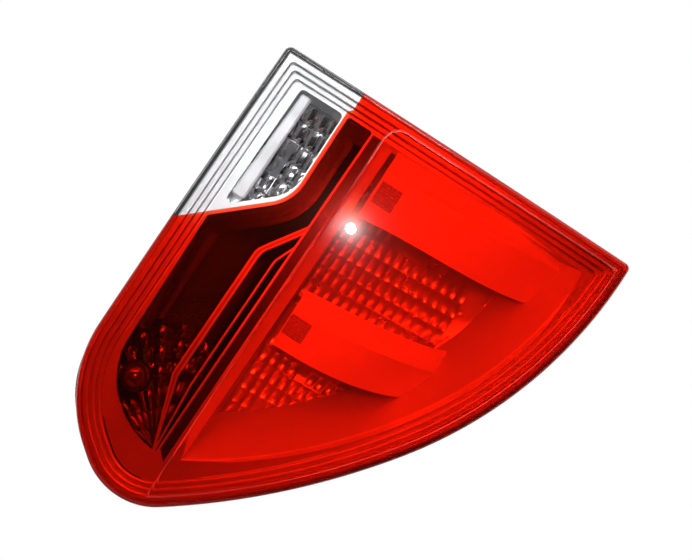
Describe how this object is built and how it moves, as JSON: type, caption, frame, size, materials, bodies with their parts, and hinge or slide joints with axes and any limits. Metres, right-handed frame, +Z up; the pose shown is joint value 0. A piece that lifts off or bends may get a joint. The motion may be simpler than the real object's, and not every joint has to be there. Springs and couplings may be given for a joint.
{
  "type": "tail light cluster",
  "caption": "Car rear lamp with a crowned red lens and a clear reversing corner over light blades and faceted reflectors, on a studded black housing with a bulb carrier behind.",
  "frame": {"origin": "seat of the upper stud, on its axis, where its collar meets the car body", "axes": "+Z up as fitted to the car, lens facing -Y, studs pointing +Y, +X to the right as seen from the lens side"},
  "size_m": [0.2068, 0.106, 0.2351],
  "materials": {
    "red_acrylic": "clear red moulded acrylic",
    "clear_acrylic": "clear moulded acrylic",
    "black_abs": "fine-grained black plastic",
    "satin_silver": "satin silver lacquer on plastic",
    "pearl_silver": "pearl silver lacquer on plastic",
    "black_trim": "gloss black plastic",
    "frosted_white": "frosted white plastic",
    "bright_coat": "bright vapour coat on plastic",
    "dark_coat": "dark vapour coat on plastic",
    "bulb_glass": "clear blown glass",
    "coated_glass": "blown glass with a dark mirror coat",
    "bulb_brass": "dull plated brass",
    "grey_carrier": "grey glass-filled plastic",
    "black_foam": "closed-cell foam rubber",
    "contact_metal": "tinned strip",
    "zinc_steel": "zinc plated steel"
  },
  "bodies": {
    "root": {"bulb_carrier": "grey_carrier", "carrier_gasket": "black_foam", "carrier_screws": "zinc_steel", "clear_lens": "clear_acrylic", "connector_pins": "contact_metal", "contact_strips": "contact_metal", "divider_trim": "black_trim", "fog_bulb_cap": "bulb_brass", "fog_bulb_glass": "coated_glass", "fog_reflector": "dark_coat", "housing": "black_abs", "inner_bezel": "satin_silver", "lower_light_blade": "pearl_silver", "mounting_studs": "zinc_steel", "perimeter_seal": "black_foam", "red_lens": "red_acrylic", "reverse_bulb_cap": "bulb_brass", "reverse_bulb_glass": "bulb_glass", "reverse_light_bar": "frosted_white", "reverse_reflector": "bright_coat", "stop_bulb_cap": "bulb_brass", "stop_bulb_glass": "bulb_glass", "stop_reflector": "bright_coat", "tail_bulb_cap": "bulb_brass", "tail_bulb_glass": "bulb_glass", "tail_reflector": "bright_coat", "upper_light_blade": "pearl_silver", "vent_caps": "black_foam"}
  },
  "joints": []
}
